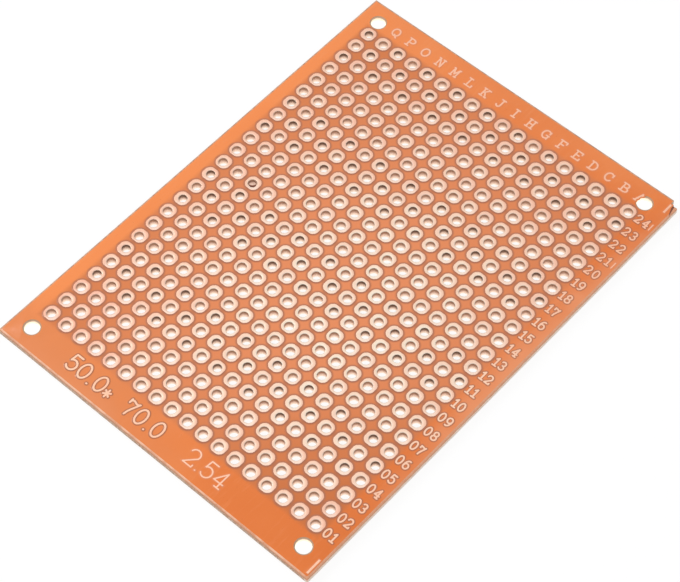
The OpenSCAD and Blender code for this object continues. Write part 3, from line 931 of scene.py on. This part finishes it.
def etched_pad(name, hole_shift, hole_radius):
    """One pad at the origin: a ring from its rolled rim, over its flat top, to its fillet."""
    top = board_high.z + COPPER_T
    bpy.ops.object.select_all(action="DESELECT")
    bpy.ops.mesh.primitive_circle_add(
        vertices=4, radius=PAD_W / math.sqrt(2), fill_type="NOTHING",
        location=(0, 0, top), rotation=(0, 0, math.pi / 4))
    pad = bpy.context.object
    pad.name = name
    settle(pad)
    start_editing(pad, "EDGE")
    for cut_off in (PAD_W - CORNER_W / math.sqrt(2), PAD_CORNER):
        bpy.ops.mesh.select_all(action="SELECT")
        bpy.ops.mesh.bevel(offset=cut_off, affect="VERTICES", segments=1)
    # The four sides are halved, so that the bridge to the hole spreads evenly.
    choose(pad, "EDGE", lambda a, b: (a - b).length > PAD_W / 5)
    bpy.ops.mesh.subdivide(number_cuts=1)
    bpy.ops.mesh.select_all(action="SELECT")
    bpy.ops.mesh.extrude_edges_move(
        TRANSFORM_OT_translate={"value": (0, 0, FILLET_LIFT - COPPER_T)})
    ratio = 1 + 2 * FILLET_W / PAD_W
    bpy.ops.transform.resize(value=(ratio, ratio, 1), center_override=(0, 0, top))
    bpy.ops.mesh.select_all(action="DESELECT")
    bpy.ops.mesh.primitive_circle_add(
        vertices=HOLE_SIDES, radius=hole_radius + RIM_ROLL.x, fill_type="NOTHING",
        location=(hole_shift.x, hole_shift.y, top))
    bpy.ops.mesh.extrude_edges_move(TRANSFORM_OT_translate={"value": (0, 0, -RIM_ROLL.y)})
    ratio = hole_radius / (hole_radius + RIM_ROLL.x)
    bpy.ops.transform.resize(value=(ratio, ratio, 1), center_override=(*hole_shift.xy, top))
    choose(pad, "EDGE", lambda a, b: min(a.z, b.z) > top - CLOSE)
    bpy.ops.mesh.bridge_edge_loops()
    choose(pad, "EDGE", lambda a, b: max(a.z, b.z) < top - CLOSE and abs(a.z - b.z) < CLOSE)
    bpy.ops.mesh.bridge_edge_loops()
    bpy.ops.mesh.select_all(action="SELECT")
    bpy.ops.mesh.normals_make_consistent(inside=False)
    bpy.ops.object.mode_set(mode="OBJECT")
    for material in (pad_material, fillet_material, rim_material):
        pad.data.materials.append(material)
    fillet_slot, rim_slot = 1, 2
    for face in pad.data.polygons:
        if 0 < face.normal.z < PAD_LEVEL:
            beyond_top = face.center.xy.length > PAD_W / 2
            face.material_index = fillet_slot if beyond_top else rim_slot
    return pad


pads = {
    radius: etched_pad("pad", shift, radius)
    for shift, radius in (PLAIN_HOLE, WIDE_HOLE, TIGHT_HOLE)
}
for column, letter in enumerate(LETTERS):
    strip = joined(f"pads_{letter}", [
        copied(pads[hole_kind(column, row)[1]], pad_place(column, row)) for row in range(ROWS)])
    bpy.ops.object.shade_smooth_by_angle(angle=math.radians(50))
    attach(strip, "root")
    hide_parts(f"pads_column_{letter}")
for pad in pads.values():
    bpy.data.objects.remove(pad)


# ---- The stuck slug ----------------------------------------------------------------------------
# In row 13 of column P the punch left part of its slug of laminate behind. It sits askew inside
# the hole, with its side towards row 01 and column A up.

SLUG_CELL = (2, 12)                       # its column and row, counted as the pads are
SLUG = Vector((0.44, 0.3, 0.22)) * MM     # its radius, thickness and depth below the copper
SLUG_TILT = math.radians(24)
SLUG_ASIDE = 0.12 * MM                    # it lies this far off the hole's middle, away from the near side
SLUG_ROUND = 0.03 * MM
SLUG_FACE = 0.8                           # its face's normal is more upright than this
FIBRE_DARK, FIBRE_PALE = (0.76, 0.46, 0.34, 1), (0.95, 0.72, 0.58, 1)

bpy.ops.object.select_all(action="DESELECT")
bpy.ops.mesh.primitive_cylinder_add(
    vertices=HOLE_SIDES, radius=SLUG.x, depth=SLUG.y, location=(0, 0, -SLUG.y / 2))
slug = bpy.context.object
slug.name = "stuck_slug"
settle(slug)
start_editing(slug, "EDGE")
choose(slug, "EDGE", lambda a, b: abs(a.z - b.z) < CLOSE)
bpy.ops.mesh.bevel(offset=SLUG_ROUND, segments=2)
bpy.ops.object.mode_set(mode="OBJECT")
slug_place = pad_place(*SLUG_CELL) + hole_kind(*SLUG_CELL)[0] + Vector((
    -NEAR_WAY[0] * SLUG_ASIDE, -NEAR_WAY[1] * SLUG_ASIDE, cad_box[1].z - SLUG.z))
slug.data.transform(
    Matrix.Translation(slug_place)
    @ Matrix.Rotation(SLUG_TILT, 4, Vector((NEAR_WAY[1], -NEAR_WAY[0], 0))))
slug_material, slug_tree, slug_shader = new_material("slug_face", (0.76, 0.5, 0.37), 0.8)
place = object_place(slug_tree)
fibres = noise(slug_tree, place, 0.12 * MM, 3)
slug_tree.links.new(
    blend(slug_tree, fibres, FIBRE_DARK, FIBRE_PALE), slug_shader.inputs["Base Color"])
bumped(slug_tree, slug_shader, fibres, 0.01 * MM)
# Its side takes the groove's dark colour: painted shade over the side that lies in shadow.
for material in (slug_material, groove_material):
    slug.data.materials.append(material)
for face in slug.data.polygons:
    face.material_index = 0 if face.normal.z > SLUG_FACE else 1
bpy.ops.object.shade_smooth_by_angle(angle=math.radians(40))
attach(slug, "root")


# ---- The index and the marks -------------------------------------------------------------------
# The digits, letters and panel marks are thin lines of the same foil, with the same fillet.
# They are paler than the pads in the middle of the board, and near the bottom corners, where the
# paleness is painted sheen.

MARK_FILLET_W = 0.2 * MM
WELD = 0.001 * MM         # corners of the loose triangles nearer than this are one

mark_material, mark_tree, mark_shader = new_material("mark_copper", (0.9, 0.5, 0.34), 0.45)
mark_shader.inputs["Metallic"].default_value = 0.6
line_foil = foiled(mark_tree, mark_shader, 0.004 * MM)
line_foil.inputs["Light"].default_value = (0.97, 0.54, 0.36, 1)
line_foil.inputs["Pink"].default_value = (0.94, 0.46, 0.29, 1)
# Paler in the middle of the board, and near the bottom corners a painted sheen.
line_foil.inputs["Middle Pale"].default_value = (1.03, 1.5, 1.75, 1)
line_foil.inputs["Corner Tone"].default_value = (1, 1.15, 1.2, 1)

# Round the letters, the pitch and the panel marks the fillet is faintest, and darkest round the
# size:
# partly flux and partly painted shade.
faint_material = flux_and_shade_fillet("faint_fillet", (0.82, 0.26, 0.105))
even_material = flux_and_shade_fillet("even_fillet", (0.36, 0.125, 0.065))
dark_material = flux_and_shade_fillet("dark_fillet", (0.28, 0.10, 0.055))

for name, fillet_paint in (
    ("row_numbers", even_material), ("column_letters", faint_material),
    ("size_mark", dark_material), ("pitch_mark", faint_material),
    ("edge_marks", faint_material),
):
    line = frame["nodes"][name]
    line.data.materials.clear()
    line.data.materials.append(mark_material)
    fillet = bpy.data.objects.new(f"{name}_fillet", line.data.copy())
    bpy.context.scene.collection.objects.link(fillet)
    fillet.data.materials.clear()
    fillet.data.materials.append(fillet_paint)
    start_editing(fillet, "FACE")
    bpy.ops.mesh.select_all(action="SELECT")
    bpy.ops.mesh.remove_doubles(threshold=WELD)
    bpy.ops.mesh.select_all(action="SELECT")
    bpy.ops.transform.translate(value=(0, 0, -FILLET_LIFT))
    choose(fillet, "VERT", lambda co: co.z < board_high.z + COPPER_T / 2)
    # A vertex normal here leans halfway down, so the foot goes out and is laid flat again.
    bpy.ops.transform.shrink_fatten(value=MARK_FILLET_W * math.sqrt(2), use_even_offset=False)
    bpy.ops.transform.resize(
        value=(1, 1, 0), center_override=(0, 0, board_high.z + FILLET_LIFT))
    bpy.ops.object.mode_set(mode="OBJECT")
    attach(fillet, "root")
